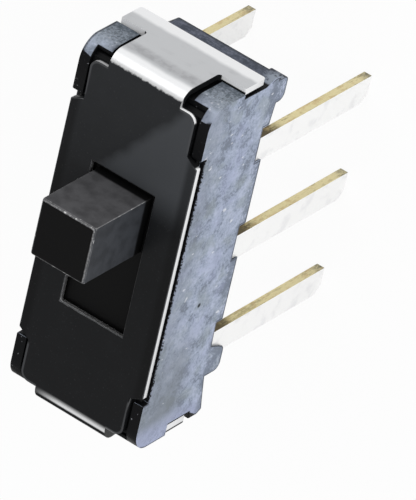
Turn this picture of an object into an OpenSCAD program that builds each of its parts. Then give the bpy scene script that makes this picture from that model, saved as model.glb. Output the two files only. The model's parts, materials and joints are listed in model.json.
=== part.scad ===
// Miniature two-pole slide switch for a printed circuit board.
// A moulded housing with six blade terminals, a folded sheet cover with
// T-shaped end flaps, and a slider that carries one spring contact for
// each row. X runs along the body, the knob points to +Z, and Z = 0 is
// the face of the board, on which the housing's feet stand.

/* [Knob and travel] */
// Knob length along the travel
knob_l = 1.42; // [1.1:0.02:1.8]
// Knob width across the body
knob_w = 1.44; // [1.1:0.02:1.6]
// Height of the knob above the cover
knob_h = 1.86; // [1:0.05:4]
// Bevel on the knob's upper edges
knob_bevel = 0.05; // [0.02:0.01:0.12]
// Travel of the slider from stop to stop
travel = 1.9; // [1.5:0.05:2.2]
// Gap between the knob and each end of the slot at the stops
knob_end_gap = 0.14; // [0.05:0.01:0.3]
// Gap between the knob and each side of the slot
knob_side_gap = 0.13; // [0.05:0.01:0.2]
// Thickness of the plate under the cover that carries the knob
carrier_t = 0.55; // [0.4:0.05:0.65]
// How far the plate still covers the slot's end at the far stop
carrier_lap = 0.1; // [0.05:0.01:0.3]
// Running gap round the slider
slide_gap = 0.05; // [0.03:0.01:0.08]

/* [Housing] */
// Height from the underside to the seat of the cover
wall_h = 2.34; // [2.2:0.05:3.2]
// Thickness of the floor
floor_t = 0.45; // [0.4:0.01:0.6]
// Thickness of the long walls
side_t = 0.425; // [0.38:0.005:0.5]
// Thickness of the end walls at their foot
end_t = 0.525; // [0.45:0.005:0.8]
// Length of the corner posts along the body
post_l = 1.25; // [0.8:0.05:1.6]
// Thickness of the corner posts' long legs
post_w = 0.26; // [0.2:0.01:0.3]
// Rise of the corner posts above the seat
post_rise = 0.1; // [0.05:0.01:0.14]
// Radius of the posts' upper end corners
post_r = 0.5; // [0.3:0.05:0.7]
// Drop of the long walls' outer lip below the seat
lip_drop = 0.09; // [0.04:0.01:0.15]
// Width of that lip
lip_w = 0.15; // [0.08:0.01:0.2]
// Height of the base rim below the end recesses
rim_h = 0.48; // [0.4:0.01:0.6]
// Height of the slope on top of that rim
rim_slope = 0.3; // [0.1:0.05:0.35]
// Corner cut that marks the first terminal
index_cut = 0.72; // [0.4:0.02:0.8]
// Height of the insulating rib on the floor between the two rows
rib_h = 0.35; // [0.2:0.05:0.45]
// Thickness of that rib
rib_t = 0.3; // [0.2:0.02:0.4]

/* [Feet] */
// Height of the standoff feet
foot_h = 0.3; // [0.2:0.05:0.6]
// Length of a foot
foot_l = 0.6; // [0.5:0.02:0.7]
// Width of a foot
foot_w = 0.4; // [0.3:0.02:0.6]
// Radius of the round lower edge of a foot
foot_r = 0.18; // [0.05:0.01:0.25]
// Distance from the end face to the nearer foot
foot_near = 0.105; // [0.05:0.005:0.3]
// Distance from the other end face to the farther foot
foot_far = 1.095; // [0.8:0.005:1.2]
// Height of the relief in the lower edge beside the farther foot
relief_h = 0.25; // [0.1:0.01:0.3]
// Corner cut where that relief meets the end face
relief_cut = 0.16; // [0.05:0.01:0.17]

/* [Cover] */
// Sheet thickness
sheet_t = 0.15; // [0.1:0.01:0.2]
// Inside radius of the end bends
bend_r = 0.2; // [0.12:0.01:0.28]
// How far the flaps stand out from the end faces
flap_proud = 0.1; // [0.05:0.01:0.14]
// Gap between a flap and the recess behind it
flap_gap = 0.075; // [0.03:0.005:0.1]
// Width of the necks that carry the flaps
neck_w = 1.91; // [1.4:0.05:2.1]
// Gap between a neck and the posts beside it
neck_gap = 0.145; // [0.05:0.005:0.2]
// Height of the flaps' cross arms
arm_h = 0.71; // [0.5:0.01:0.8]
// Gap above the cross arms, under the posts
arm_gap = 0.03; // [0.02:0.005:0.1]
// Setback of the arms' tips from the long sides
arm_inset = 0.055; // [0.02:0.005:0.15]
// Radius of the arms' lower corners
arm_r = 0.07; // [0.05:0.01:0.25]
// Radius of the fillets between the arms and the neck
arm_fillet = 0.08; // [0.05:0.01:0.12]
// Setback of the cover's long edges from the long sides
edge_inset = 0.03; // [0:0.01:0.1]
// Gap between the cover and the posts
post_gap = 0.075; // [0.03:0.005:0.12]
// Length of the slope at each shoulder of the cover
shoulder = 0.15; // [0.08:0.01:0.25]
// Setback of the cover's end edges from the end faces
cover_end = 0.275; // [0.25:0.005:0.4]
// Radius of the cover's end corners
cover_r = 0.22; // [0.1:0.01:0.35]

/* [Terminals and contacts] */
// Spacing of the terminals along a row
pin_pitch = 2.5; // [2.3:0.1:2.6]
// Spacing of the two rows
row_pitch = 3.15; // [2.95:0.05:4]
// Width of a terminal blade
pin_w = 0.64; // [0.4:0.02:0.7]
// Thickness of a terminal blade
pin_t = 0.2; // [0.15:0.01:0.22]
// Length of the terminals below the board's face
pin_l = 3.6; // [2.5:0.1:5]
// Chamfer on one corner of each terminal's tip
pin_tip = 0.18; // [0.05:0.01:0.3]
// Wall left outside the terminals
pin_skin = 0.05; // [0.03:0.01:0.1]
// Length of the contact pads along the body
pad_l = 1.2; // [1:0.05:1.4]
// Distance of the pads' inner ends from the centre plane
pad_in = 0.4; // [0.3:0.05:0.45]
// Inside radius of the terminals' bends
pin_bend = 0.1; // [0.08:0.01:0.12]
// Height of the notches at the terminals' roots
notch_h = 0.22; // [0.12:0.01:0.24]
// Room beside each terminal in its notch
notch_gap = 0.105; // [0.05:0.005:0.16]
// Thickness of the spring contacts
clip_t = 0.1; // [0.06:0.01:0.12]
// Width of the spring contacts
clip_w = 0.6; // [0.4:0.02:0.7]
// Radius of the spring contacts' bows
clip_r = 0.2; // [0.12:0.01:0.25]
// Gap between the bows and the pads
contact_gap = 0.03; // [0.02:0.005:0.05]

/* [Hidden] */
$fn = 48;
eps = 0.01;
cut = 1;

// the slot, the carrier and the cavity follow the knob and its travel
slot_l = knob_l + travel + 2 * knob_end_gap;
slot_w = knob_w + 2 * knob_side_gap;
carrier_l = slot_l + travel + 2 * carrier_lap;
cavity_l = carrier_l + travel + 2 * slide_gap;
body_l = cavity_l + 2 * end_t;
body_w = row_pitch + pin_t + 2 * pin_skin;
cavity_w = body_w - 2 * side_t;
carrier_w = cavity_w - 2 * slide_gap;

// heights
under_z = foot_h;
notch_z = under_z + notch_h;
floor_z = under_z + floor_t;
seat_z = under_z + wall_h;
post_z = seat_z + post_rise;
cover_z = seat_z + sheet_t;
carrier_z = seat_z - slide_gap;
plate_z = carrier_z - carrier_t;
knob_z = cover_z + knob_h;

// the flaps and the recesses that take them
flap_x = body_l / 2 + flap_proud;
recess_x = flap_x - sheet_t - flap_gap;
bend_x = flap_x - sheet_t - bend_r;
bend_z = seat_z - bend_r;
recess_z = under_z + rim_h;
arm_z = recess_z + arm_gap;
recess_top = arm_z + arm_h + arm_gap;
ledge_z = seat_z - 0.6 * bend_r;
ledge_x = body_l / 2 - cover_end - arm_gap;
groove_w = (body_l / 2 - post_gap - (body_l / 2 - cover_end)) / 2.5;
groove_h = post_w;

// half widths of the cover
cover_y = body_w / 2 - edge_inset;
narrow_y = body_w / 2 - post_w - post_gap;
shoulder_x = body_l / 2 - post_l - arm_gap - shoulder;

// the spring contacts and the block that holds them
clip_y = pad_in + (cavity_w / 2 - pad_in) / 2 - slide_gap;
clip_tip = 1.4 * clip_r;
clip_half = pin_pitch / 2 + clip_tip;
block_half = clip_half + 3 * slide_gap;
block_z = floor_z + rib_h + 0.2;
clip_low = floor_z + contact_gap + clip_t / 2;
clip_top = plate_z - clip_t / 2;

// ---------- shared shapes ----------

// A box centred on X and Y, from z0 to z1
module block(l, w, z0, z1) {
    translate([-l / 2, -w / 2, z0]) cube([l, w, z1 - z0]);
}

// A profile drawn in X and Z, carried along Y and centred on y
module along_y(w, y = 0) {
    translate([0, y + w / 2, 0]) rotate([90, 0, 0]) linear_extrude(w) children();
}

// A profile drawn in Y and Z, carried along X from x0
module along_x(l, x0) {
    translate([x0, 0, 0]) rotate([90, 0, 90]) linear_extrude(l) children();
}

// A flat rectangle with round corners
module round_rect(l, w, r) {
    square([l - 2 * r, w], center = true);
    square([l, w - 2 * r], center = true);
    for (x = [-1, 1], y = [-1, 1])
        translate([x * (l / 2 - r), y * (w / 2 - r)]) circle(r);
}

// Both ends of the body
module both_ends() {
    for (side = [0, 1]) mirror([side, 0, 0]) children();
}

// Both long sides of the body
module both_sides() {
    for (side = [0, 1]) mirror([0, side, 0]) children();
}

// ---------- terminals ----------

// One terminal of the +Y row: a blade through the board, a bend in the
// housing's wall, and a pad that lies level with the floor
module terminal_shape(x) {
    outer = body_w / 2 - pin_skin;
    bend_y = outer - pin_t - pin_bend;
    root_z = floor_z - pin_t - pin_bend;
    translate([x, 0, 0]) {
        translate([0, outer, 0]) rotate([90, 0, 0]) linear_extrude(pin_t)
            polygon([[-pin_w / 2, root_z], [pin_w / 2, root_z], [pin_w / 2, -pin_l],
                     [pin_tip - pin_w / 2, -pin_l], [-pin_w / 2, pin_tip - pin_l]]);
        along_x(pin_w, -pin_w / 2)
            intersection() {
                difference() {
                    translate([bend_y, root_z]) circle(pin_bend + pin_t);
                    translate([bend_y, root_z]) circle(pin_bend);
                }
                translate([bend_y, root_z]) square(cut);
            }
        translate([-pin_w / 2, pad_in, floor_z - pin_t])
            cube([pin_w, bend_y - pad_in, pin_t]);
        translate([-pad_l / 2, pad_in, floor_z - pin_t])
            cube([pad_l, cavity_w / 2 - pad_in, pin_t]);
    }
}

module rear_terminal(i) {
    color("silver") terminal_shape((1 - i) * pin_pitch);
}

module front_terminal(i) {
    color("silver") mirror([0, 1, 0]) terminal_shape((1 - i) * pin_pitch);
}

// ---------- housing ----------

// A standoff foot with its square end at x = 0 and its outer side at y = 0;
// it reaches up to the notches' ceiling, where one of them meets it
module foot() {
    along_y(foot_w, foot_w / 2) {
        translate([foot_r - foot_l, 0]) square([foot_l - foot_r, notch_z]);
        translate([-foot_l, foot_r]) square([2 * foot_r, notch_z - foot_r]);
        translate([foot_r - foot_l, foot_r]) circle(foot_r);
    }
}

// The feet lie in the same places again after half a turn
module feet() {
    for (turn = [0, 180]) rotate([0, 0, turn]) {
        translate([body_l / 2 - foot_near, -body_w / 2, 0]) foot();
        translate([foot_l + foot_far - body_l / 2, -body_w / 2, 0]) foot();
    }
}

module corner_posts() {
    both_ends() both_sides()
        translate([body_l / 2 - post_l, body_w / 2 - post_w, floor_z])
            cube([post_l, post_w, post_z - floor_z]);
}

// What a round upper end corner takes off
module end_rounding() {
    both_ends() along_y(body_w + cut)
        difference() {
            translate([body_l / 2 - post_r, post_z - post_r]) square(post_r + eps);
            translate([body_l / 2 - post_r, post_z - post_r]) circle(post_r);
        }
}

// The end recess: open at the end and at both sides, with a sloped sill
module end_recess() {
    both_ends() along_y(body_w + cut)
        polygon([[recess_x, recess_top], [recess_x, recess_z],
                 [body_l / 2 + eps, recess_z - rim_slope],
                 [body_l / 2 + cut, recess_z - rim_slope], [body_l / 2 + cut, recess_top]]);
}

// The way down each end face for a neck
module neck_way() {
    way = neck_w + 2 * neck_gap;
    both_ends() translate([recess_x, -way / 2, recess_z]) cube([cut, way, wall_h]);
}

// The top beside the seat: a ledge under each end of the cover, with a
// groove behind the end wall
module end_ledge() {
    ledge_w = body_w - 2 * post_w;
    both_ends() {
        translate([ledge_x, -ledge_w / 2, ledge_z]) cube([cut, ledge_w, cut]);
        translate([body_l / 2 - cover_end, -ledge_w / 2, ledge_z - groove_h])
            cube([groove_w, ledge_w, cut]);
    }
}

// The lower outer lip of each long wall, between the posts
module wall_lip() {
    run = body_l - 2 * post_l;
    both_sides() translate([-run / 2, body_w / 2 - lip_w, seat_z - lip_drop])
        cube([run, cut, cut]);
}

// A notch in the lower edge at each terminal's root
module root_notches() {
    notch_w = pin_w + 2 * notch_gap;
    notch_y = body_w / 2 - pin_skin - pin_t;
    both_sides() for (i = [-1:1])
        translate([i * pin_pitch - notch_w / 2, notch_y, notch_z - cut])
            cube([notch_w, cut, cut]);
}

// A sloped relief in the lower edge, from each far foot out to a corner
// cut at its end
module edge_relief() {
    from = foot_far - body_l / 2;
    for (turn = [0, 180]) rotate([0, 0, turn])
        translate([0, -body_w / 2, 0]) along_y(2 * post_w)
            polygon([[from, under_z - eps], [from, under_z + relief_h],
                     [relief_cut - body_l / 2, under_z], [-body_l / 2, under_z + relief_cut],
                     [-body_l / 2 - eps, under_z + relief_cut], [-body_l / 2 - eps, under_z - eps]]);
}

// The corner that is cut away beside the first terminal of the rear row
module index_corner() {
    translate([body_l / 2, body_w / 2, under_z - cut])
        rotate([0, 0, 45])
            translate([-index_cut / sqrt(2), -body_w, 0]) cube([body_w, 2 * body_w, cut + rim_h]);
}

module housing() {
    color([0.22, 0.24, 0.3]) difference() {
        union() {
            difference() {
                union() {
                    block(body_l, body_w, under_z, seat_z);
                    corner_posts();
                }
                block(cavity_l, cavity_w, floor_z, post_z + cut);
                end_rounding();
                end_recess();
                neck_way();
                end_ledge();
                wall_lip();
                edge_relief();
                root_notches();
                index_corner();
            }
            feet();
            block(cavity_l, rib_t, floor_z - eps, floor_z + rib_h);
        }
        both_sides() for (i = [-1:1]) terminal_shape(i * pin_pitch);
    }
}

// ---------- cover ----------

// The blank's flat part with its slot
module cover_blank() {
    difference() {
        union() {
            round_rect(body_l - 2 * cover_end, 2 * narrow_y, cover_r);
            polygon([for (s = [[1, 1], [-1, 1], [-1, -1], [1, -1]]) each
                s[0] * s[1] > 0
                    ? [[s[0] * (shoulder_x + shoulder), s[1] * narrow_y],
                       [s[0] * shoulder_x, s[1] * cover_y]]
                    : [[s[0] * shoulder_x, s[1] * cover_y],
                       [s[0] * (shoulder_x + shoulder), s[1] * narrow_y]]]);
        }
        square([slot_l, slot_w], center = true);
    }
}

// The neck's section: flat, then the bend, then down the end face
module neck_section() {
    flat_x = slot_l / 2 + post_l / 2;
    translate([flat_x, seat_z]) square([bend_x - flat_x, sheet_t]);
    translate([bend_x, bend_z]) intersection() {
        difference() {
            circle(bend_r + sheet_t);
            circle(bend_r);
        }
        square(cut);
    }
    translate([flap_x - sheet_t, arm_z]) square([sheet_t, bend_z - arm_z]);
}

// The cross arms, square above and round below, with a fillet to the neck
module arms() {
    span = body_w - 2 * arm_inset;
    translate([0, arm_z + arm_h / 2]) round_rect(span, arm_h, arm_r);
    translate([-span / 2, arm_z + arm_h / 2]) square([span, arm_h / 2]);
    for (side = [0, 1]) mirror([side, 0]) translate([neck_w / 2, arm_z + arm_h]) difference() {
        translate([-eps, -eps]) square(arm_fillet + eps);
        translate([arm_fillet, arm_fillet]) circle(arm_fillet);
    }
}

module cover() {
    color([0.76, 0.77, 0.78]) {
        translate([0, 0, seat_z]) linear_extrude(sheet_t) cover_blank();
        both_ends() {
            along_y(neck_w) neck_section();
            along_x(sheet_t, flap_x - sheet_t) arms();
        }
    }
}

// ---------- slider ----------

// The knob with bevelled upper edges
module knob() {
    bevel = knob_bevel * sqrt(2);
    difference() {
        block(knob_l, knob_w, carrier_z - eps, knob_z);
        for (x = [-1, 1]) translate([x * knob_l / 2, 0, knob_z])
            rotate([0, 45, 0]) cube([bevel, knob_w + cut, bevel], center = true);
        for (y = [-1, 1]) translate([0, y * knob_w / 2, knob_z])
            rotate([45, 0, 0]) cube([knob_l + cut, bevel, bevel], center = true);
    }
}

module slider() {
    color([0.12, 0.12, 0.13]) translate([travel / 2, 0, 0]) {
        knob();
        block(carrier_l, carrier_w, plate_z, carrier_z);
        difference() {
            block(2 * block_half, carrier_w, block_z, plate_z + eps);
            both_sides() translate([0, clip_y, 0])
                block(2 * (clip_half + slide_gap), clip_w + 2 * slide_gap, block_z - cut, plate_z);
        }
    }
}

// ---------- spring contacts ----------

// Half of the strip's centre line: flat on the pocket's ceiling, down to
// the bow over a pad, and up again at the tip
function half_line() =
    let (x = pin_pitch / 2, z = clip_low + clip_r)
    concat([[x / 3, clip_top]],
           [for (a = [-60:12:48]) [x + clip_r * sin(a), z - clip_r * cos(a)]],
           [[x + clip_tip, z + clip_tip - clip_r]]);

// Side vector of a line at point i, square to it and half as long as t
function side(line, i, t) =
    let (a = line[max(i - 1, 0)], b = line[min(i + 1, len(line) - 1)], d = b - a)
    [-d[1], d[0]] / norm(d) * t / 2;

// A strip of thickness t along a line
function strip(line, t) =
    concat([for (i = [0:len(line) - 1]) line[i] + side(line, i, t)],
           [for (i = [len(line) - 1:-1:0]) line[i] - side(line, i, t)]);

module spring_contact(y) {
    half = half_line();
    whole = concat([for (i = [len(half) - 1:-1:0]) [-half[i][0], half[i][1]]], half);
    color("gold") translate([travel / 2, 0, 0]) along_y(clip_w, y) polygon(strip(whole, clip_t));
}

module front_spring_contact() {
    spring_contact(-clip_y);
}

module rear_spring_contact() {
    spring_contact(clip_y);
}

housing();
cover();
slider();
front_spring_contact();
rear_spring_contact();
front_terminal(0);  // front_terminal_1
front_terminal(1);  // front_terminal_2
front_terminal(2);  // front_terminal_3
rear_terminal(0);  // rear_terminal_1
rear_terminal(1);  // rear_terminal_2
rear_terminal(2);  // rear_terminal_3
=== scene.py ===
"""Looks of a miniature slide switch, built round the packed CAD part.

Every piece is a rounded copy of one CAD part with its own procedural finish, worked out in
millimetres on Object coordinates. Sizes and places come from the frame.
"""

import json
import math

import bmesh
import bpy
from mathutils import Matrix, Vector

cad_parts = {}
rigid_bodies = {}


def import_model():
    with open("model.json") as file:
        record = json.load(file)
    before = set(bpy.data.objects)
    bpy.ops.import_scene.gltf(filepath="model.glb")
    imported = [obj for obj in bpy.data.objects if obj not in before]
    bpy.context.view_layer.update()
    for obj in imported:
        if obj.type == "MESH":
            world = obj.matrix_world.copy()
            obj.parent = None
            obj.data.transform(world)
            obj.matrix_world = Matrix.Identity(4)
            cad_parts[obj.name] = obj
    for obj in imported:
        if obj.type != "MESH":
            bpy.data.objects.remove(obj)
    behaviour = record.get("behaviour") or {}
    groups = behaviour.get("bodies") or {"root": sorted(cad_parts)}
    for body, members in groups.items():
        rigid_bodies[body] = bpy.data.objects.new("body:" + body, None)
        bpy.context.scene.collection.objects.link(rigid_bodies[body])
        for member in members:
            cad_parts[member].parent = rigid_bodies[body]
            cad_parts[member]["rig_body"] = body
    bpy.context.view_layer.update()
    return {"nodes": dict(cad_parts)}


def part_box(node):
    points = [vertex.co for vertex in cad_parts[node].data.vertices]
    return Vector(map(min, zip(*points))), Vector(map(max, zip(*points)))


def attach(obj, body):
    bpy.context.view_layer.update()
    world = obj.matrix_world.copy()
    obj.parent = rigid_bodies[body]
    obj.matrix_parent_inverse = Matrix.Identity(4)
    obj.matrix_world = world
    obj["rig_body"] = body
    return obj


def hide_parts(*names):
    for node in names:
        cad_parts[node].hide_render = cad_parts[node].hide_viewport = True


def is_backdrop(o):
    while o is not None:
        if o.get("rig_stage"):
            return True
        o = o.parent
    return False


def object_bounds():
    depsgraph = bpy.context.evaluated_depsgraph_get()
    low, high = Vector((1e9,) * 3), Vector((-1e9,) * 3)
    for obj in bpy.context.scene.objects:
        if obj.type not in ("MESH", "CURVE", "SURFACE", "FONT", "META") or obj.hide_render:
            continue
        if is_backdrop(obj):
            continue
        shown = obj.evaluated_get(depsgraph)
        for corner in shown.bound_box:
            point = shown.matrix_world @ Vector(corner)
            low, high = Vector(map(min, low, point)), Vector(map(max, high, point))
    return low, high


bl_info = {
    "name": "Slide Switch Looks",
    "version": (1, 0, 0),
    "blender": (4, 5, 0),
    "location": "3D View > Sidebar > Slide Switch",
    "description": "Finishes, stage and camera of a miniature slide switch",
    "category": "Object",
}

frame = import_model()

MM = 0.001
FRONT, REAR = "front", "rear"
ROWS = (FRONT, REAR)
PINS = (1, 2, 3)


def box_mm(node):
    """Lowest and highest corner of a CAD node in millimetres."""
    return [[value / MM for value in corner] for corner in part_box(node)]


HOUSING_LOW, HOUSING_HIGH = box_mm("housing")
COVER_LOW, COVER_HIGH = box_mm("cover")
SLIDER_TOP = box_mm("slider")[1][2]
PIN_LOW = box_mm("front_terminal_1")[0]
PIN_PITCH = PIN_LOW[0] - box_mm("front_terminal_2")[0][0]

# places on the CAD solids that the boxes don't give, in millimetres
NOTCH_HALF, NOTCH_LOW, NOTCH_TOP = 0.43, 0.2, 0.53
RECESS_X, RECESS_LOW, RECESS_TOP = 4.25, 0.78, 1.55
SILL_EDGE, SILL_LIMIT, SILL_TOP = 0.48, 0.60, 0.74
NECK_HALF = 1.91 / 2
NECK_TOP, NECK_FOOT = 2.44, 1.60
FLAP_BAND, FLAP_MIDDLE = 0.2, 0.1
COVER_END, COVER_Y, COVER_RADIUS = 4.10, 1.39, 0.22
KNOB_BEVEL = 0.05

# slack when points of a mesh are picked by their place, in millimetres
SLACK = 0.01
# edges that turn by more than this are sharp
SHARP = math.radians(40.0)
# how many times its rounding's width the edges that meet a sharp edge have to be long
ROOM = 2.2


# ---------- settings ----------


def colour(name, description, default):
    """A colour property, with its default in linear values."""
    return bpy.props.FloatVectorProperty(
        name=name, description=description, default=default, size=3, min=0, max=1, subtype="COLOR"
    )


def length(name, description, default):
    """A length property, in metres."""
    return bpy.props.FloatProperty(
        name=name, description=description, default=default, min=0, unit="LENGTH", precision=6
    )


def shift(name, description, default):
    """A length property that may be negative, in metres."""
    return bpy.props.FloatProperty(
        name=name, description=description, default=default, unit="LENGTH", precision=6
    )


def number(name, description, default, low=0.0, high=1.0):
    """A plain number property."""
    return bpy.props.FloatProperty(name=name, description=description, default=default, min=low, max=high)


def angle(name, description, default):
    """An angle property, whose default is given in degrees."""
    return bpy.props.FloatProperty(
        name=name, description=description, default=math.radians(default), unit="ROTATION"
    )


class SwitchColours(bpy.types.PropertyGroup):
    """Colours of the switch's materials."""

    # The housing's wall colours are painted light: a mottled pale sheen on the long sides of the dark
    # moulding, with darker, palest, greyer, lilac and sage patches.
    wall: colour("Moulded wall", "Pale slate skin of the housing's sides", (0.33, 0.38, 0.49))
    wall_low: colour("Wall hollows", "Darker patches of that skin", (0.185, 0.215, 0.275))
    wall_high: colour("Wall bloom", "Palest patches of that skin", (0.45, 0.50, 0.63))
    wall_dull: colour("Dull wall", "Greyer skin towards the lower end", (0.195, 0.22, 0.25))
    wall_lilac: colour("Lilac patches", "Soft patches with a lilac cast", (0.41, 0.45, 0.64))
    wall_sage: colour("Sage patches", "Soft patches with a green-grey cast", (0.30, 0.345, 0.375))
    scuff: colour("Scuffs", "White scuffs and flecks on the moulding", (0.72, 0.74, 0.80))
    # The end colours are painted light too: paler and darker painted sheen on the end faces and the sills,
    # with paler streaks.
    end_pale: colour("Pale end walls", "Paler skin of the end faces", (0.27, 0.305, 0.355))
    slate: colour("End walls", "Slate of the posts' end faces", (0.056, 0.072, 0.086))
    sill: colour("Sills", "Dark slate of the rim below the flaps", (0.040, 0.047, 0.062))
    sill_pale: colour("Sill streaks", "Paler streaks of that rim", (0.115, 0.125, 0.165))
    # Painted shade: dark lines along the moulding's edges.
    outline: colour("Outline", "Dark lower edges of the moulding", (0.018, 0.020, 0.026))
    # Painted dark reflection on faces that look up, also painted shade in hollows.
    pitch: colour("Upper faces", "Near black of faces that look up", (0.0025, 0.0027, 0.0035))
    # The cover's front black is a painted dark reflection, also used as painted shade in slits and on cut
    # faces; its grey sheen is a painted soft reflection.
    reflection_and_shade_black: colour("Cover front", "Black finish on the front of the sheet", (0.0085, 0.009, 0.010))
    soft_reflection_grey: colour("Cover bloom", "Grey bloom in that finish", (0.060, 0.064, 0.070))
    # Grey of the painted dim rims on the bends and of painted highlight lines along the narrow ends, also of
    # flecks on the front.
    grey_rims_and_flecks: colour("Cover rims", "Thin rims and the slot's walls", (0.075, 0.077, 0.082))
    nickel: colour("Nickel", "Plated sheet of the flaps", (0.60, 0.61, 0.625))
    # A grey band below the bends and grey smears on the flaps.
    nickel_grey: colour("Worn nickel", "Grey smears on the flaps", (0.43, 0.435, 0.45))
    # Painted highlight on the bends, a band low on the flaps and the cut edges.
    nickel_highlight: colour("Burnished nickel", "Bends and cut edges of the sheet", (0.93, 0.935, 0.945))
    # The knob's own black. The sides and ends below are painted lighter where light falls; the edges get a
    # painted highlight with painted glints.
    knob: colour("Knob", "Dark moulding of the knob's end", (0.0018, 0.0018, 0.0020))
    knob_side_lit: colour("Knob sides", "Greyer sides of the knob", (0.046, 0.050, 0.058))
    knob_end_lit: colour("Knob ends", "The two sides that push and pull", (0.085, 0.085, 0.090))
    knob_edge_highlight: colour("Knob edges", "Rubbed edges of the knob", (0.30, 0.30, 0.305))
    knob_glint: colour("Knob nicks", "Bright nicks in those edges", (0.70, 0.70, 0.70))
    tin: colour("Tin", "Plated faces of the terminals", (0.96, 0.96, 0.955))
    tin_dull: colour("Dull tin", "Faint smudges on those faces", (0.80, 0.80, 0.81))
    brass: colour("Brass", "Cut edges of the terminals", (0.74, 0.65, 0.36))
    brass_warm: colour("Warm brass", "Orange-brown patches on those edges", (0.50, 0.33, 0.13))
    brass_tip: colour("Brass tips", "Grey-brown ends of those edges", (0.13, 0.12, 0.075))
    # Browner near the terminals' roots, next to the housing.
    brass_root: colour("Stained brass", "Brown stains at the terminals' roots", (0.060, 0.040, 0.008))
    brass_dark: colour("Dull brass", "Streaks and roots of those edges", (0.25, 0.20, 0.075))


class SwitchEdges(bpy.types.PropertyGroup):
    """Edge rounding of each kind of piece."""

    moulding: length("Moulding", "Edge radius of the housing", 0.035 * MM)
    outline: length("Outline", "Width of the dark line along the walls' lower edges", 0.030 * MM)
    foot: length("Feet", "Radius of the square ends of the feet", 0.13 * MM)
    mouth: shift("Notch mouths", "How far the root notches' mouths lie past the terminals", 0.20 * MM)
    pressed: length("Pressed flap", "How far the -X flap and its recess lie in", 0.15 * MM)
    swelling: length("Swelling", "How much thicker the arms of the -X flap are than the sheet", 0.05 * MM)
    sill: length("Far sill", "How far the sill below that recess lies in", 0.07 * MM)
    sheet: length("Sheet", "Edge radius of the cover", 0.032 * MM)
    knob: length("Knob", "Edge radius of the slider", 0.035 * MM)
    blade: length("Blade", "Edge radius of the terminals", 0.020 * MM)
    strip: length("Strip", "Edge radius of the spring contacts", 0.015 * MM)


class SwitchStage(bpy.types.PropertyGroup):
    """Camera, lamps and floor."""

    azimuth: angle("Azimuth", "Camera's angle round Z, from the front", 52.05)
    elevation: angle("Elevation", "Camera's angle above the floor", 47.06)
    roll: angle("Roll", "Camera's turn about its own axis", 119.8)
    distance: length("Distance", "From the camera to its target", 0.200)
    focal: bpy.props.FloatProperty(name="Lens", description="Focal length", default=676.5, unit="CAMERA")
    across: shift("Shift across", "Target's place, to the camera's right", 0.4848 * MM)
    upward: shift("Shift up", "Target's place, along the camera's up", -0.9613 * MM)
    floor: colour("Floor", "Colour of the floor", (0.93, 0.93, 0.93))
    glow: number("Floor glow", "Share of plain white that the camera sees on the floor", 0.94)
    world: number("World level", "Brightness of the surroundings", 0.55, 0.0, 2.0)
    key: number("Key level", "Brightness that the key lamp gives", 0.45, 0.0, 3.0)
    fill: number("Fill level", "Brightness that the fill lamp gives", 0.20, 0.0, 3.0)


SETTINGS = {
    "switch_colours": SwitchColours,
    "switch_edges": SwitchEdges,
    "switch_stage": SwitchStage,
}


def colours():
    """The colour settings of the current scene."""
    return bpy.context.scene.switch_colours


def edges():
    """The edge settings of the current scene."""
    return bpy.context.scene.switch_edges


# ---------- shader expressions ----------


class Value:
    """A shader socket that takes part in Python arithmetic. Each operator adds one Math node."""

    def __init__(self, tree, socket):
        self.tree = tree
        self.socket = socket

    def math(self, operation, *others):
        """This value and others through one Math node."""
        made = self.tree.nodes.new("ShaderNodeMath")
        made.operation = operation
        for place, item in zip(made.inputs, (self, *others)):
            feed(self.tree, place, item)
        return Value(self.tree, made.outputs[0])

    def __add__(self, other):
        return self.math("ADD", other)

    __radd__ = __add__

    def __sub__(self, other):
        return self.math("SUBTRACT", other)

    def __rsub__(self, other):
        return (self * -1.0) + other

    def __mul__(self, other):
        return self.math("MULTIPLY", other)

    def __truediv__(self, other):
        return self.math("DIVIDE", other)

    def __pow__(self, other):
        return self.math("POWER", other)

    def __neg__(self):
        return self * -1.0

    def __abs__(self):
        return self.math("ABSOLUTE")

    def __or__(self, other):
        return self.math("MAXIMUM", other)

    def __and__(self, other):
        return self.math("MINIMUM", other)

    def rise(self, start, end):
        """0 before start, 1 after end and a smooth step between. A start past the end gives a fall."""
        made = self.tree.nodes.new("ShaderNodeMapRange")
        made.interpolation_type = "SMOOTHSTEP"
        feed(self.tree, made.inputs["Value"], self)
        if start <= end:
            limits = (start, end, 0.0, 1.0)
        else:
            limits = (end, start, 1.0, 0.0)
        for place, item in zip(("From Min", "From Max", "To Min", "To Max"), limits):
            made.inputs[place].default_value = item
        return Value(self.tree, made.outputs[0])


def feed(tree, place, item):
    """Gives a socket a link or a constant."""
    if isinstance(item, Value):
        tree.links.new(item.socket, place)
    elif hasattr(place.default_value, "__len__") and len(item) == 3 and len(place.default_value) == 4:
        place.default_value = (*item, 1.0)
    else:
        place.default_value = item


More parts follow.
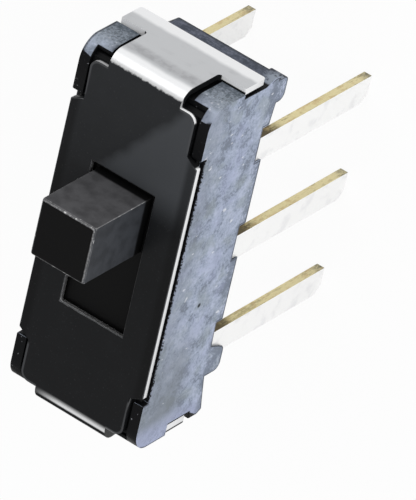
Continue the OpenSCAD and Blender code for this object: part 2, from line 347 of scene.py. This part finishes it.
class Finish:
    """A material under construction, with the maths written as expressions on its values."""

    def __init__(self, name, **constants):
        self.material = bpy.data.materials.new(name)
        self.material.use_nodes = True
        self.tree = self.material.node_tree
        self.shader = self.tree.nodes["Principled BSDF"]
        for socket, item in constants.items():
            feed(self.tree, self.shader.inputs[socket.replace("_", " ")], item)
        place = self.node("ShaderNodeTexCoord", out="Object")
        self.mm = self.node(
            "ShaderNodeMapping", sockets={"Vector": place, "Scale": (1 / MM, 1 / MM, 1 / MM)}
        )
        self.x, self.y, self.z = self.split(self.mm)
        smooth = self.node("ShaderNodeNewGeometry", out="Normal")
        self.nx, self.ny, self.nz = self.split(smooth)
        flat = self.node("ShaderNodeNewGeometry", out="True Normal")
        self.flat_x, self.flat_y, self.flat_z = self.split(flat)

    def node(self, kind, settings=None, sockets=None, out=0):
        """Adds a node: its settings first, then the values or links of its sockets."""
        made = self.tree.nodes.new(kind)
        for name, item in (settings or {}).items():
            setattr(made, name, item)
        for name, item in (sockets or {}).items():
            feed(self.tree, made.inputs[name], item)
        return Value(self.tree, made.outputs[out])

    def split(self, vector):
        """The three parts of a vector."""
        made = self.tree.nodes.new("ShaderNodeSeparateXYZ")
        feed(self.tree, made.inputs[0], vector)
        return tuple(Value(self.tree, out) for out in made.outputs)

    def noise(self, per_mm, detail=2.0, roughness=0.5, stretch=None, shift=0.0):
        """Smooth noise with that many cells in a millimetre, about 0.5 in the middle."""
        place = self.mm
        if stretch or shift:
            place = self.node(
                "ShaderNodeMapping",
                sockets={"Vector": self.mm, "Scale": stretch or (1, 1, 1), "Location": (shift, shift, shift)},
            )
        return self.node(
            "ShaderNodeTexNoise",
            sockets={"Vector": place, "Scale": per_mm, "Detail": detail, "Roughness": roughness},
        )

    def mix(self, share, first, second):
        """The first colour where share is 0 and the second where it is 1."""
        return self.node(
            "ShaderNodeMix",
            settings={"data_type": "RGBA", "clamp_factor": True},
            sockets={0: share, 6: first, 7: second},
            out=2,
        )

    def bump(self, height, distance_mm, strength=1.0):
        """Feeds the shader's normal with a height in units of distance_mm."""
        normal = self.node(
            "ShaderNodeBump",
            sockets={"Height": height, "Distance": distance_mm * MM, "Strength": strength},
        )
        feed(self.tree, self.shader.inputs["Normal"], normal)

    def paint(self, **channels):
        """Feeds the shader's varying sockets."""
        for socket, item in channels.items():
            feed(self.tree, self.shader.inputs[socket.replace("_", " ")], item)
        return self.material


# ---------- meshes ----------


def rounded_copy(node, width, name, before=None, after=None):
    """A merged copy of a CAD node with its sharp edges rounded by an arc of three steps.

    A sharp edge is rounded where the edges that meet its ends leave room. The copy rides on the
    node's body and stands for it. Two functions may change its bmesh, one before the rounding
    and one after.
    """
    source = frame["nodes"][node]
    mesh = source.data.copy()
    mesh.name = name
    work = bmesh.new()
    work.from_mesh(mesh)
    bmesh.ops.remove_doubles(work, verts=work.verts, dist=0.0005 * MM)
    bmesh.ops.dissolve_limit(
        work, angle_limit=math.radians(0.5), verts=work.verts, edges=work.edges, delimit={"NORMAL"}
    )
    if before:
        before(work)
    sharp = [e for e in work.edges if len(e.link_faces) == 2 and e.calc_face_angle(0.0) > SHARP]
    room = [e for e in sharp if has_room(e, ROOM * width)]
    bmesh.ops.bevel(
        work, geom=room, offset=width, offset_type="OFFSET", segments=3, profile=0.5,
        affect="EDGES", clamp_overlap=True, loop_slide=True,
    )
    if after:
        after(work)
    for face in work.faces:
        face.smooth = True
    work.to_mesh(mesh)
    work.free()
    mesh.set_sharp_from_angle(angle=SHARP)
    mesh.materials.clear()
    piece = bpy.data.objects.new(name, mesh)
    bpy.context.scene.collection.objects.link(piece)
    weighted = piece.modifiers.new("weighted normals", "WEIGHTED_NORMAL")
    weighted.keep_sharp = True
    weighted.weight = 50
    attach(piece, source["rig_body"])
    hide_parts(node)
    return piece


def has_room(edge, room):
    """True where every edge that meets this one's ends is long enough for the rounding."""
    near = {e for v in edge.verts for e in v.link_edges}
    return min(e.calc_length() for e in near) > room


def worn_feet(work):
    """Rounds the square ends of the feet."""
    ends = [
        e for e in work.edges
        if max(v.co.z for v in e.verts) < SLACK * MM
        and abs(e.verts[0].co.x - e.verts[1].co.x) < SLACK * MM
        and e.calc_face_angle(0.0) > math.radians(80)
    ]
    bmesh.ops.bevel(work, geom=ends, offset=edges().foot, segments=5, profile=0.5, affect="EDGES")


def lean_notches(work):
    """Moves the mouths of the root notches along the walls, the rear wall's the other way."""
    side = HOUSING_HIGH[1] - SLACK
    for vert in work.verts:
        x, y, z = vert.co / MM
        near = abs(x - PIN_PITCH * round(x / PIN_PITCH)) < NOTCH_HALF
        if near and abs(y) > side and NOTCH_LOW < z < NOTCH_TOP:
            vert.co.x -= math.copysign(edges().mouth, y)


def deepen_recess(work):
    """Moves the recess of the -X flap's arms inwards, and the sill below it, whose top it squares."""
    arms = [
        v for v in work.verts
        if abs(v.co.x + RECESS_X * MM) < SLACK * MM
        and RECESS_LOW - SLACK < v.co.z / MM < RECESS_TOP + SLACK
    ]
    necks = [v for v in arms if abs(v.co.y) < 0.7 * HOUSING_HIGH[1] * MM]
    back = [f for f in necks[0].link_faces if necks[1] in f.verts]
    bmesh.utils.face_split(back[0], *necks)
    for vert in arms:
        vert.co.x += edges().pressed
    for vert in work.verts:
        if vert.co.x < (HOUSING_LOW[0] + SLACK) * MM and vert.co.z < SILL_LIMIT * MM:
            vert.co.x += edges().sill
            if vert.co.z > SILL_EDGE * MM:
                vert.co.z = SILL_TOP * MM


def shape_housing(work):
    """Every change to the housing's copy that comes before its edges are rounded."""
    lean_notches(work)
    worn_feet(work)
    deepen_recess(work)


def press_flap(work):
    """Leans the neck of the -X flap inwards from its bend, and swells the arms below it."""
    for vert in work.verts:
        if vert.co.x < (COVER_LOW[0] + FLAP_BAND) * MM and vert.co.z < (NECK_TOP + SLACK) * MM:
            lean = (NECK_TOP - vert.co.z / MM) / (NECK_TOP - NECK_FOOT)
            inner = vert.co.x > (COVER_LOW[0] + FLAP_MIDDLE) * MM
            way = edges().pressed if inner else edges().pressed - edges().swelling
            vert.co.x += way * min(max(lean, 0.0), 1.0)


def mark_rims(work):
    """Cuts a narrow band along the border of both long walls and marks it with the attribute rim."""
    layer = work.faces.layers.float.new("rim")
    side = (HOUSING_HIGH[1] - SLACK) * MM
    walls = [f for f in work.faces if abs(f.normal.y) > 0.99 and abs(f.calc_center_median().y) > side]
    bands = bmesh.ops.inset_individual(
        work, faces=walls, thickness=edges().outline, use_even_offset=True
    )
    for face in bands["faces"]:
        face[layer] = 1.0


def finished(node, width, material, slot, **changes):
    """One CAD node as a rounded, painted piece."""
    piece = rounded_copy(node, width, node + "_finished", **changes)
    piece.data.materials.append(material)
    return piece


# ---------- finishes ----------


def moulded_finish():
    """Filled black plastic with painted light: a mottled pale slate sheen painted on the walls, duller
    painted sheen on the ends and sills, a painted dark reflection on upper faces and painted shade in
    hollows.
    """
    shades = colours()
    f = Finish("moulding_with_painted_light", Specular_IOR_Level=0.14)
    cloud = f.noise(0.9, detail=3.0)
    tint = f.noise(1.5, detail=2.0, shift=7.0)
    blotch = f.noise(2.6, detail=5.0, roughness=0.62, shift=3.0)
    grain = f.noise(17.0, detail=4.0, roughness=0.7)
    fleck = f.noise(6.5, detail=1.0, stretch=(1.0, 1.0, 0.6), shift=9.0)
    speck = f.noise(13.0, detail=2.0, shift=6.0)
    mottle = blotch * 0.5 + grain * 0.4 + cloud * 0.1
    half_l = HOUSING_HIGH[0]

    end = abs(f.nx).rise(0.45, 0.8) * abs(f.x).rise(half_l - 0.5, half_l - 0.4)
    # Painted sheen on the walls and ends; the white flecks and specks on it are the moulding's own scuffs.
    body = wall_skin(f, shades, cloud, tint, mottle)
    body = f.mix(fleck.rise(0.73, 0.77) * 0.75, body, shades.scuff)
    body = f.mix(end * 0.92, body, end_skin(f, shades, mottle, grain))
    body = f.mix(speck.rise(0.62, 0.72) * end * f.z.rise(1.7, 2.0) * 0.45, body, shades.scuff)
    # Painted shade: dark lines along the edges, and a painted pit.
    body = f.mix(dark_outline(f, grain), body, shades.outline)
    # Painted dark reflection on upper faces and painted shade in hollows.
    dark = dark_hollow(f, grain)
    body = f.mix(dark, body, shades.pitch)
    body = f.mix(dark * speck.rise(0.70, 0.76) * f.nz.rise(0.8, 0.9) * 0.3, body, shades.scuff)
    f.bump(cloud * 0.2 + blotch * 0.4 + grain * 0.35, 0.03, 0.6)
    return f.paint(Base_Color=body, Roughness=0.60 - mottle * 0.15 + grain * 0.1 - dark * 0.1)


def wall_skin(f, shades, cloud, tint, mottle):
    """The long walls' painted sheen: grey-green to lilac patches, duller at the top, the lower edge and near
    -X.
    """
    half_l, _, top = HOUSING_HIGH
    skin = f.mix(mottle.rise(0.42, 0.50), shades.wall_low, shades.wall)
    skin = f.mix(mottle.rise(0.50, 0.60), skin, shades.wall_high)
    skin = f.mix(tint.rise(0.50, 0.66) * 0.35, skin, shades.wall_lilac)
    skin = f.mix(tint.rise(0.47, 0.34) * 0.50, skin, shades.wall_sage)
    uneven = 0.6 + cloud.rise(0.35, 0.6) * 0.35
    far = f.x.rise(-0.25 * half_l, -0.72 * half_l) * f.z.rise(0.35 * top, 0.62 * top)
    dull = (far | (f.z.rise(0.60 * top, 0.90 * top) * 0.5)) * uneven
    skin = f.mix(dull * f.x.rise(0.05 - half_l, 0.65 - half_l), skin, shades.wall_dull)
    skin = f.mix(f.x.rise(0.75 - half_l, 0.25 - half_l) * uneven * 0.8, skin, shades.wall_lilac)
    lower = f.z.rise(0.25 * top, 0.15 * top) * mottle.rise(0.60, 0.46) * 0.9
    return f.mix(lower, skin, shades.wall_low)


def end_skin(f, shades, mottle, grain):
    """The end faces' painted sheen: dark slate beside the flaps, paler towards the posts' tops, dark again on
    the sills.
    """
    half_l, half_w, top = HOUSING_HIGH
    paler = (f.z / top + mottle * 0.7 + (grain - 0.5) * 0.6 + abs(f.y) * 0.1).rise(1.02, 1.40)
    skin = f.mix(paler, shades.slate, shades.end_pale)
    skin = f.mix((f.z / top + mottle * 0.5).rise(1.06, 1.22) * 0.6, skin, shades.wall_high)
    on_sill = f.z.rise(0.34 * top, 0.30 * top) * abs(f.x).rise(half_l - 0.16, half_l - 0.13)
    streak = f.noise(14.0, detail=3.0, roughness=0.7, stretch=(1.0, 0.35, 1.0))
    sill = f.mix((mottle * 0.5 + streak * 0.5).rise(0.44, 0.60), shades.sill, shades.sill_pale)
    # Painted shade lines along the sills' edges.
    lines = f.z.rise(0.155 * top, 0.125 * top) | f.z.rise(0.255 * top, 0.280 * top)
    sill = f.mix(lines * 0.95, sill, shades.outline)
    skin = f.mix(on_sill, skin, sill)
    corner = abs(f.y).rise(half_w - 0.35, half_w - 0.10) * f.z.rise(0.36 * top, 0.28 * top)
    return f.mix(corner * (mottle + streak).rise(0.85, 1.05) * 0.85, skin, shades.end_pale)


def dark_outline(f, grain):
    """Share of painted shade: dark lines on the walls' rims and lower edges, on edges that turn down, to -X
    or to +Y away from the light, and a painted pit.
    """
    half_l, side = HOUSING_HIGH[0], HOUSING_LOW[1]
    rim = f.node("ShaderNodeAttribute", settings={"attribute_name": "rim"}, out="Fac")
    front = f.y.rise(0.1, -0.1) * 2.0 - 1.0
    line = rim * (f.z.rise(0.62, 0.56) | (f.x * -front).rise(half_l - 0.1, half_l - 0.06))
    post = (f.x.rise(-0.1, 0.1) * 2.0 - 1.0) * f.y
    line = line | (post.rise(-side - 0.060, -side - 0.035) * abs(f.flat_x).rise(0.1, 0.2))
    edge = (-f.flat_z).rise(0.15, 0.45) | ((-f.flat_x).rise(0.2, 0.5) * (-f.flat_x).rise(0.98, 0.9))
    edge = edge | (f.flat_y.rise(0.2, 0.45) * f.flat_y.rise(0.97, 0.9))
    edge = (edge | (line * 0.85)) * (0.55 + grain.rise(0.4, 0.6) * 0.45)
    # A pit painted as a dark spot, with no pit in the mesh.
    pit_x, pit_z, reach = -1.04, 1.44, 0.075
    span = ((f.x - pit_x) ** 2.0 + (f.z - pit_z) ** 2.0) ** 0.5
    pit = span.rise(reach, 0.4 * reach) * f.y.rise(side + 0.05, side + 0.02)
    return edge | pit


def dark_hollow(f, grain):
    """Share of painted near black: a painted dark reflection on faces that look up, and painted shade in
    hollows, under the walls' upper lips and in one low corner.
    """
    half_l, half_w, top = HOUSING_HIGH
    rough = (grain - 0.5) * 0.06
    # Painted dark reflection on faces that look up and on faces that tilt up towards -X.
    up = (f.nz + rough).rise(0.86, 0.92) | (f.nz.rise(0.15, 0.35) * (-f.nx).rise(0.1, 0.25))
    # Painted shade on inner faces, in the arms' recesses, the pockets, on the shoulders, under the upper lips
    # and in the low -X, -Y corner.
    inner = abs(f.ny).rise(0.6, 0.8) * abs(f.y).rise(half_w - 0.03, half_w - 0.06)
    recess = abs(f.nx).rise(0.6, 0.8) * abs(f.x).rise(half_l - 0.08, half_l - 0.10)
    recess = recess * abs(f.x).rise(half_l - 0.30, half_l - 0.25) * f.z.rise(0.3, 0.35)
    recess = recess * f.z.rise(top - 0.26, top - 0.30)
    pocket = abs(f.x).rise(half_l - 0.085, half_l - 0.095) * abs(f.y).rise(half_w - 0.24, half_w - 0.25)
    pocket = pocket * f.z.rise(top - 0.72, top - 0.68)
    shoulder = abs(f.nx).rise(0.5, 0.7) * abs(f.x).rise(half_l - 0.6, half_l - 0.8)
    shoulder = shoulder * f.z.rise(top - 0.45, top - 0.35)
    run = half_l - 1.24
    lip = (f.z + rough * 4.0).rise(top - 0.205, top - 0.19) * abs(f.x).rise(run, run - 0.02)
    steep, reach = 1.64, 7.50
    corner = (f.z - f.x * steep).rise(reach, reach + 0.04)
    corner = corner * f.z.rise(0.82, RECESS_LOW) * f.y.rise(0.125 - half_w, 0.075 - half_w)
    return up | inner | recess | pocket | shoulder | lip | corner


def sheet_finish():
    """Plated sheet with painted light: a painted dark reflection makes its front black, and painted
    highlights brighten its bends and cut edges.
    """
    shades = colours()
    f = Finish("nickel_with_painted_light", Specular_IOR_Level=0.22, Specular_Tint=(0.5, 0.5, 0.5))
    end, side, top = COVER_HIGH
    low = COVER_LOW[2]
    smear = f.noise(2.2, detail=3.0, shift=1.0)
    brushed = f.noise(9.0, detail=4.0, stretch=(1.0, 0.12, 1.0))
    ragged = f.noise(8.0, detail=3.0, roughness=0.6, shift=4.0)
    speck = f.noise(30.0, detail=1.0)

    # Painted dark reflection on the front faces, with a painted soft reflection patch towards +X.
    front = (f.nz + (ragged - 0.5) * 0.10).rise(0.905, 0.955) * f.z.rise(top - 0.05, top - 0.03)
    slant = f.y + f.x * 0.75 + (smear - 0.5) * 0.3
    sheen = f.x.rise(1.0, 2.2) * slant.rise(2.25, 1.70) * 0.95 | (f.x.rise(-0.5, 0.9 * end) * 0.26)
    reflection_and_shade_black = f.mix(sheen + (smear - 0.5) * 0.1, shades.reflection_and_shade_black, shades.soft_reflection_grey)
    # Darker beside the long edges, and grey flecks.
    reflection_and_shade_black = f.mix(abs(f.y).rise(side - 0.32, side - 0.15) * 0.55, reflection_and_shade_black, shades.knob)
    reflection_and_shade_black = f.mix(speck.rise(0.68, 0.76) * 0.25, reflection_and_shade_black, shades.grey_rims_and_flecks)

    # A grey band below the bends and random grey smears on the flaps.
    height = f.z + (smear - 0.5) * 0.1
    streak = 0.55 + (smear * 0.4 + ragged * 0.6).rise(0.42, 0.60) * 0.45
    patchy = height.rise(top - 0.38, top - 0.50) * height.rise(top - 0.82, top - 0.62) * streak
    patchy = patchy | ((smear * 0.6 + brushed * 0.4).rise(0.54, 0.66) * 0.3)
    metal = f.mix(patchy, shades.nickel, shades.nickel_grey)
    # Painted highlight on the bends, on a band low on the flaps and on the cut faces.
    lower = (f.z + (smear - 0.5) * 0.10).rise(low + 0.40, low + 0.24)
    bright = height.rise(top - 0.41, top - 0.26) | lower
    metal = f.mix(bright * 0.95, metal, shades.nickel_highlight)
    metal = f.mix(abs(f.ny).rise(0.6, 0.8), metal, shades.nickel_highlight)

    rim, pale, dark = cover_edges(f)
    # Painted dim rims on the bends, painted shade, the painted dark reflection with its painted highlight
    # line, and painted highlights at the -X bend and corners.
    shade = f.mix(rim, metal, shades.grey_rims_and_flecks)
    shade = f.mix(dark, shade, shades.reflection_and_shade_black)
    shade = f.mix(front, shade, f.mix(outline_band(f) * 0.8, reflection_and_shade_black, shades.grey_rims_and_flecks))
    gleam = f.x.rise(0.42 - end, 0.27 - end) * f.y.rise(1.1, 0.2)
    shade = f.mix(gleam * front, shade, shades.nickel_highlight)
    shade = f.mix(pale, shade, shades.nickel_highlight)
    # Painted shade on the far limb of the -X bend.
    shade = f.mix((-f.nx).rise(0.22, 0.38) * f.z.rise(top - 0.4, top - 0.3), shade, shades.reflection_and_shade_black)
    bare = (1.0 - front) * (1.0 - (rim | dark | pale))
    f.bump(brushed * bare * 0.5 + smear * 0.2 + speck * 0.05, 0.01, 0.6)
    return f.paint(Base_Color=shade, Metallic=bare, Roughness=0.34 + smear * 0.10 - front * 0.04)


def cover_edges(f):
    """Shares of painted light on the cover's edges: a painted dim rim on the bends, painted highlights on the
    corners and arm tops, and painted shade on the slits, the shaded arm tops and the cut faces.
    """
    end, side, top = COVER_HIGH
    cut_face = (abs(f.ny) | (abs(f.nx) * abs(f.x).rise(end - 0.30, end - 0.36))).rise(0.5, 0.7)
    arc = f.nz.rise(0.2, 0.45) * f.nz.rise(0.97, 0.90) * abs(f.x).rise(end - 0.26, end - 0.32)
    narrow = abs(f.y).rise(side - 0.03, side - 0.06) * abs(f.x).rise(0.655 * end, 0.665 * end)
    corner = narrow * abs(f.x).rise(3.91, 3.97) * abs(f.y).rise(NECK_HALF - 0.01, NECK_HALF + 0.01)
    # Painted highlight, stronger on the -Y side.
    gleam = f.z.rise(top - 0.085, top - 0.055) * (0.45 + f.y.rise(0.3, -0.3) * 0.55)
    pale = corner * (cut_face | arc) * gleam * f.x.rise(-0.3, 0.3)
    # Painted shade in the slits beside the neck.
    beside = abs(f.y).rise(NECK_HALF + 0.09, NECK_HALF + 0.06)
    beside = beside * abs(f.y).rise(NECK_HALF - 0.06, NECK_HALF - 0.04)
    hollow = f.nz.rise(0.2, 0.5) * f.z.rise(top - 0.8, top - 0.9)
    slit = (cut_face | hollow) * beside * abs(f.x).rise(end - 0.5, end - 0.43)
    arm_top = f.nz.rise(0.3, 0.6) * f.z.rise(top - 0.9, top - 1.0)
    shaded = abs(f.x).rise(end - 0.08, end - 0.10) * f.y.rise(0.3, -0.3)
    lean = (((NECK_TOP - f.z) / (NECK_TOP - NECK_FOOT)) | 0.0) & 1.0
    unleant = f.x - lean * ((edges().pressed - edges().swelling) / MM)
    turned = abs(f.flat_y).rise(0.2, 0.3) * unleant.rise(0.055 - end, 0.035 - end)
    dark = slit | (arm_top * shaded) | (narrow * cut_face) | turned
    return arc, pale | (arm_top * (1.0 - (shaded | beside)) * 0.85), dark


def outline_band(f):
    """Share of the painted grey highlight line along the narrow ends of the cover, inside their round
    corners.
    """
    over_x = (abs(f.x) - (COVER_END - COVER_RADIUS)) | 0.0
    over_y = (abs(f.y) - (COVER_Y - COVER_RADIUS)) | 0.0
    inside = (over_x**2.0 + over_y**2.0) ** 0.5 - COVER_RADIUS
    band = inside.rise(-0.060, -0.035) * inside.rise(0.02, 0.0)
    return band * abs(f.x).rise(3.15, 3.25) * abs(f.y).rise(NECK_HALF - 0.02, NECK_HALF + 0.02)


def knob_finish():
    """Satin black moulding with painted light: sides painted grey where light falls, a painted shadow at the
    root, and thin painted highlights along the edges with bright painted glints.
    """
    shades = colours()
    f = Finish("satin_black", Specular_IOR_Level=0.14)
    soft = f.noise(3.0, detail=3.0)
    grain = f.noise(36.0, detail=2.0, roughness=0.7)
    patchy = f.noise(16.0, detail=2.0, roughness=0.6, shift=5.0)
    glint = f.noise(9.0, detail=1.0, shift=8.0)
    foot = COVER_HIGH[2]
    crest = SLIDER_TOP - 0.5 * KNOB_BEVEL
    # Sides and ends painted lighter than the top, as lit faces.
    side = f.mix(abs(f.nx).rise(0.5, 0.8), shades.knob_side_lit, shades.knob_end_lit)
    side = f.mix(soft.rise(0.35, 0.7) * 0.35, side, shades.knob)
    # Painted shadow at the root, where the knob goes into the slot.
    side = f.mix(f.z.rise(foot + 0.13, foot + 0.05), side, shades.knob)
    shade = f.mix(f.nz.rise(0.75, 0.9) | f.z.rise(crest, crest + 0.01), side, shades.knob)
    # Painted highlight along the rounded edges, with painted glints.
    strongest = abs(f.flat_x) | abs(f.flat_y) | f.flat_z
    edge = strongest.rise(0.960, 0.90) * f.z.rise(foot, foot + 0.2)
    middle = abs(f.z - crest).rise(0.016, 0.010)
    edge = edge * (1.0 - f.z.rise(crest - 0.6 * KNOB_BEVEL, crest - 0.5 * KNOB_BEVEL) * (1.0 - middle))
    shade = f.mix(edge * (0.35 + patchy.rise(0.45, 0.62) * 0.5), shade, shades.knob_edge_highlight)
    shade = f.mix(edge * glint.rise(0.66, 0.72) * 0.9, shade, shades.knob_glint)
    f.bump(soft * 0.4 + grain * 0.3, 0.012, 0.6)
    return f.paint(Base_Color=shade, Roughness=0.50 + grain * 0.12)


def blade_finish():
    """Tinned blades with brass showing along their cut edges, duller near the housing."""
    shades = colours()
    f = Finish("tinned_brass", Specular_IOR_Level=0.5)
    drag = f.noise(6.0, detail=4.0, stretch=(1.0, 1.0, 0.12))
    fine = f.noise(26.0, detail=3.0, roughness=0.65, stretch=(1.0, 1.0, 0.3))
    smudge = f.noise(2.6, detail=3.0, shift=2.0)
    cut_face = abs(f.nx).rise(0.35, 0.7) | (-f.nz).rise(0.5, 0.8)
    root = f.z.rise(-0.5, 0.15)
    tip = f.z.rise(PIN_LOW[2] + 0.42, PIN_LOW[2] + 0.02)
    patch = f.noise(5.0, detail=4.0, roughness=0.65, stretch=(1.0, 1.0, 0.45), shift=11.0)
    dull = (drag * 0.5 + fine * 0.5).rise(0.46, 0.64) * 0.6 | root
    edge = f.mix(dull, shades.brass, shades.brass_dark)
    edge = f.mix(patch.rise(0.52, 0.62) * 0.45, edge, shades.brass_warm)
    edge = f.mix(tip * (0.35 + fine.rise(0.35, 0.60) * 0.55), edge, shades.brass_tip)
    # Browner near the roots, next to the housing.
    root_brown = f.z.rise(-0.40, 0.05) * fine.rise(0.40, 0.55) | (f.z.rise(-0.05, 0.20) * fine.rise(0.20, 0.45))
    edge = f.mix(root_brown * 0.9, edge, shades.brass_root)
    plate = f.mix(smudge.rise(0.50, 0.68) * 0.6, shades.tin, shades.tin_dull)
    shade = f.mix(cut_face, plate, edge)
    f.bump(drag * 0.4 + fine * 0.15, 0.008, 0.5)
    return f.paint(Base_Color=shade, Metallic=0.35 + cut_face * 0.25, Roughness=0.34 + fine * 0.14)


def strip_finish():
    """Rolled copper alloy of the spring contacts."""
    shades = colours()
    f = Finish("rolled_spring_strip", Specular_IOR_Level=0.5)
    rolled = f.noise(8.0, detail=3.0, stretch=(0.15, 1.0, 0.15))
    shade = f.mix(rolled.rise(0.4, 0.65), shades.brass, shades.nickel)
    f.bump(rolled, 0.006, 0.5)
    return f.paint(Base_Color=shade, Metallic=0.95 + rolled * 0.05, Roughness=0.25 + rolled * 0.15)


# ---------- operators ----------


class SWITCH_OT_housing(bpy.types.Operator):
    """Make the moulded housing."""

    bl_idname = "switch.housing"
    bl_label = "Housing"

    def execute(self, context):
        finished(
            "housing", edges().moulding, moulded_finish(), "housing_moulding",
            before=shape_housing, after=mark_rims,
        )
        return {"FINISHED"}


class SWITCH_OT_cover(bpy.types.Operator):
    """Make the folded sheet cover."""

    bl_idname = "switch.cover"
    bl_label = "Cover"

    def execute(self, context):
        finished("cover", edges().sheet, sheet_finish(), "cover_sheet", before=press_flap)
        return {"FINISHED"}


class SWITCH_OT_slider(bpy.types.Operator):
    """Make the knob and its carrier."""

    bl_idname = "switch.slider"
    bl_label = "Slider"

    def execute(self, context):
        finished("slider", edges().knob, knob_finish(), "knob_moulding")
        return {"FINISHED"}


class SWITCH_OT_contacts(bpy.types.Operator):
    """Make the two spring contacts that ride under the slider."""

    bl_idname = "switch.contacts"
    bl_label = "Spring contacts"

    def execute(self, context):
        material = strip_finish()
        for row in ROWS:
            finished(f"{row}_spring_contact", edges().strip, material, "contact_strip")
        return {"FINISHED"}


class SWITCH_OT_terminals(bpy.types.Operator):
    """Make the six blade terminals."""

    bl_idname = "switch.terminals"
    bl_label = "Terminals"

    def execute(self, context):
        material = blade_finish()
        for row in ROWS:
            for pin in PINS:
                finished(f"{row}_terminal_{pin}", edges().blade, material, "terminal_blade")
        return {"FINISHED"}


class SWITCH_OT_stage(bpy.types.Operator):
    """Make the floor, the lamps, the surroundings and the camera."""

    bl_idname = "switch.stage"
    bl_label = "Stage"

    def execute(self, context):
        settings = context.scene.switch_stage
        low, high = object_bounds()
        make_floor(settings, low.z)
        make_world(settings)
        make_lamps(settings, (low + high) / 2)
        make_camera(settings)
        context.scene.view_settings.view_transform = "Standard"
        return {"FINISHED"}


# ---------- stage ----------


def make_floor(settings, height):
    """A pale floor under the terminals' tips, almost white to the camera, that keeps the shadow."""
    reach = 2.0
    corners = [(x * reach, y * reach, height) for x, y in ((-1, -1), (1, -1), (1, 1), (-1, 1))]
    mesh = bpy.data.meshes.new("floor")
    mesh.from_pydata(corners, [], [(0, 1, 2, 3)])
    floor = bpy.data.objects.new("floor", mesh)
    bpy.context.scene.collection.objects.link(floor)
    f = Finish("pale_floor", Roughness=0.9, Specular_IOR_Level=0.1, Base_Color=tuple(settings.floor))
    rays = "ShaderNodeLightPath"
    seen = f.node(rays, out="Is Camera Ray") | f.node(rays, out="Is Glossy Ray")
    seen = seen | f.node(rays, out="Is Transmission Ray")
    glow = f.node("ShaderNodeEmission", sockets={"Color": (1.0, 1.0, 1.0), "Strength": 1.0})
    shaded = Value(f.tree, f.shader.outputs[0])
    both = f.node("ShaderNodeMixShader", sockets={0: seen * settings.glow, 1: shaded, 2: glow})
    f.tree.links.new(both.socket, f.tree.nodes["Material Output"].inputs["Surface"])
    mesh.materials.append(f.material)
    floor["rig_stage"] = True


def make_world(settings):
    """Even surroundings, white to the camera."""
    world = bpy.data.worlds.new("surroundings")
    bpy.context.scene.world = world
    world.use_nodes = True
    tree = world.node_tree
    plain = tree.nodes["Background"]
    plain.inputs["Color"].default_value = (1.0, 1.0, 1.0, 1.0)
    path = tree.nodes.new("ShaderNodeLightPath")
    seen = Value(tree, path.outputs["Is Camera Ray"])
    feed(tree, plain.inputs["Strength"], seen * (1.0 - settings.world) + settings.world)


def make_lamps(settings, centre):
    """Soft square lamps round the switch. A lamp's level is the brightness that it gives a white face."""
    lamps = [
        ("key", settings.key, (0.45, -0.75, 0.50), 0.10, 0.070),
        ("fill", settings.fill, (0.80, 0.35, 0.50), 0.10, 0.080),
    ]
    for name, level, direction, distance, width in lamps:
        data = bpy.data.lights.new(name, "AREA")
        data.shape = "SQUARE"
        data.size = width
        data.energy = math.pi**2 * level * distance**2
        lamp = bpy.data.objects.new(name, data)
        away = Vector(direction).normalized()
        lamp.location = centre + away * distance
        lamp.rotation_euler = away.to_track_quat("Z", "Y").to_euler()
        bpy.context.scene.collection.objects.link(lamp)


def make_camera(settings):
    """A long lens that looks down at the end and the front side, turned about its own axis."""
    a, e, r = settings.azimuth, settings.elevation, settings.roll
    back = Vector((math.sin(a) * math.cos(e), -math.cos(a) * math.cos(e), math.sin(e)))
    level = Vector((math.cos(a), math.sin(a), 0.0))
    rise = back.cross(level)
    right = level * math.cos(r) - rise * math.sin(r)
    up = back.cross(right)
    target = right * settings.across + up * settings.upward
    data = bpy.data.cameras.new("camera")
    data.lens = settings.focal
    data.clip_start = 0.01
    data.clip_end = 10.0
    camera = bpy.data.objects.new("camera", data)
    turn = Matrix((right, up, back)).transposed()
    camera.matrix_world = Matrix.Translation(target + back * settings.distance) @ turn.to_4x4()
    bpy.context.scene.collection.objects.link(camera)
    bpy.context.scene.camera = camera


# ---------- panel and registration ----------

PIECES = (
    SWITCH_OT_housing,
    SWITCH_OT_cover,
    SWITCH_OT_slider,
    SWITCH_OT_contacts,
    SWITCH_OT_terminals,
    SWITCH_OT_stage,
)


class SWITCH_PT_panel(bpy.types.Panel):
    """Lists the switch's pieces and settings."""

    bl_idname = "SWITCH_PT_panel"
    bl_label = "Slide Switch"
    bl_space_type = "VIEW_3D"
    bl_region_type = "UI"
    bl_category = "Slide Switch"

    def draw(self, context):
        for operator in PIECES:
            self.layout.operator(operator.bl_idname)
        for name, group in SETTINGS.items():
            box = self.layout.box()
            box.label(text=group.__doc__)
            for field in group.__annotations__:
                box.prop(getattr(context.scene, name), field)


CLASSES = (*SETTINGS.values(), *PIECES, SWITCH_PT_panel)


def register():
    """Registers every class and the scene's settings."""
    for item in CLASSES:
        bpy.utils.register_class(item)
    for name, group in SETTINGS.items():
        setattr(bpy.types.Scene, name, bpy.props.PointerProperty(type=group))


def unregister():
    """Takes the classes and settings away again."""
    for name in SETTINGS:
        delattr(bpy.types.Scene, name)
    for item in reversed(CLASSES):
        bpy.utils.unregister_class(item)


def main():
    """Builds everything."""
    register()
    for operator in PIECES:
        group, name = operator.bl_idname.split(".")
        getattr(getattr(bpy.ops, group), name)()


if __name__ == "__main__":
    main()
